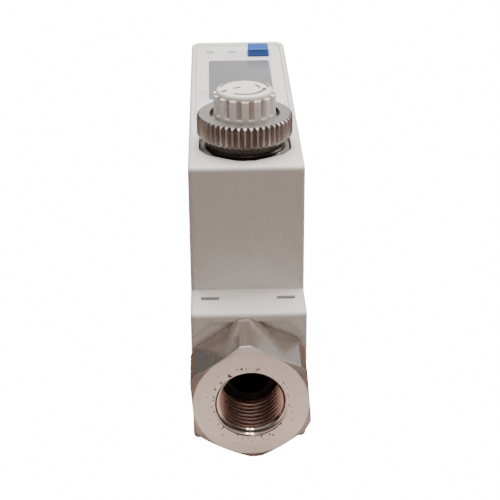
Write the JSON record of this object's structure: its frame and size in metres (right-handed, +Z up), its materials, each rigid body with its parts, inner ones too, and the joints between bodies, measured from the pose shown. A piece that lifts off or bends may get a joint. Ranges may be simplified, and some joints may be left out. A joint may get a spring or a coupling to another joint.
{
  "type": "in-line flow switch with flow control valve",
  "caption": "Slim in-line digital flow switch with display keys, threaded hexagon ports and a ribbed flow adjusting knob inside a knurled lock ring.",
  "frame": {"origin": "middle of the flat base, on the plane that the instrument stands on", "axes": "+Z up along the adjusting valve's axis, +Y along the flow line from the outlet port at -Y to the inlet port at +Y, +X across the width"},
  "size_m": [0.0346, 0.1914, 0.0996],
  "materials": {
    "housing": "fine moulded satin",
    "sheet": "satin film",
    "window": "grey glossy window",
    "key_white": "satin",
    "key_blue": "satin",
    "knob": "fine moulded satin",
    "stainless": "turned and milled",
    "clip_steel": "stamped sheet",
    "black_plastic": "moulded",
    "brass": "turned",
    "nickel": "nickel plated",
    "seal_rubber": "moulded",
    "board": "solder resist",
    "lcd_glass": "display cell",
    "screw_steel": "plated",
    "gold_pin": "gold plated"
  },
  "bodies": {
    "housing": {"board_screws": "screw_steel", "bonnet_seal": "seal_rubber", "case_gasket": "seal_rubber", "case_screws": "screw_steel", "connector_board": "board", "connector_carrier": "black_plastic", "connector_nut": "nickel", "connector_pins": "gold_pin", "connector_seal": "seal_rubber", "connector_shell": "nickel", "display_sheet": "sheet", "display_window": "window", "flow_body": "housing", "flow_straightener": "black_plastic", "inlet_clip": "clip_steel", "knob_retainer": "clip_steel", "lcd_frame": "black_plastic", "lcd_module": "lcd_glass", "main_board": "board", "measuring_tube": "black_plastic", "mounting_inserts": "brass", "outlet_clip": "clip_steel", "probe_seal": "seal_rubber", "sensor_leads": "gold_pin", "sensor_seal": "seal_rubber", "tact_switches": "black_plastic", "temperature_probe": "stainless", "upper_case": "housing", "valve_bonnet": "stainless", "valve_seat": "black_plastic", "vortex_sensor": "black_plastic"},
    "outlet_port": {"outlet_fitting": "stainless", "outlet_seal": "seal_rubber", "outlet_liner": "black_plastic"},
    "inlet_port": {"inlet_fitting": "stainless", "inlet_seal": "seal_rubber", "inlet_liner": "black_plastic"},
    "knob": {"knob": "knob", "knob_insert": "brass"},
    "spindle": {"valve_spindle": "stainless", "spindle_seal": "seal_rubber"},
    "lock_washer": {"lock_washer": "clip_steel"},
    "lock_ring": {"lock_ring": "stainless"},
    "key_up": {"key_up": "key_white"},
    "key_down": {"key_down": "key_white"},
    "key_set": {"key_set": "key_blue"}
  },
  "joints": [
    {"name": "outlet_swivel", "type": "hinge", "parent": "housing", "child": "outlet_port", "pos_m": [0, -0.07795, 0.023], "axis": [0, 1, 0], "continuous": true},
    {"name": "inlet_swivel", "type": "hinge", "parent": "housing", "child": "inlet_port", "pos_m": [0, 0.07795, 0.023], "axis": [0, 1, 0], "continuous": true},
    {"name": "knob_turn", "type": "hinge", "parent": "housing", "child": "knob", "pos_m": [0, -0.04325, 0.09], "axis": [0, 0, 1], "range_deg": [-720, 1440]},
    {"name": "spindle_lift", "type": "slide", "parent": "knob", "child": "spindle", "axis": [0, 0, 1], "range_m": [-0.00201, 0.00401]},
    {"name": "ring_lift", "type": "slide", "parent": "housing", "child": "lock_washer", "axis": [0, 0, 1], "range_m": [-0.0003, 0.00072]},
    {"name": "ring_turn", "type": "hinge", "parent": "lock_washer", "child": "lock_ring", "pos_m": [0, -0.04325, 0.088], "axis": [0, 0, 1], "range_deg": [-100, 250]},
    {"name": "key_up_press", "type": "slide", "parent": "housing", "child": "key_up", "axis": [0, 0, -1], "range_m": [0, 0.0005], "stiffness_N_per_m": 400, "springref_m": -0.002},
    {"name": "key_down_press", "type": "slide", "parent": "housing", "child": "key_down", "axis": [0, 0, -1], "range_m": [0, 0.0005], "stiffness_N_per_m": 400, "springref_m": -0.002},
    {"name": "key_set_press", "type": "slide", "parent": "housing", "child": "key_set", "axis": [0, 0, -1], "range_m": [0, 0.0005], "stiffness_N_per_m": 400, "springref_m": -0.002}
  ],
  "couplings": [
    {"joint": "spindle_lift", "follows": "knob_turn", "m_per_rad": 0.00015915},
    {"joint": "ring_lift", "follows": "ring_turn", "m_per_rad": 0.00015915}
  ]
}
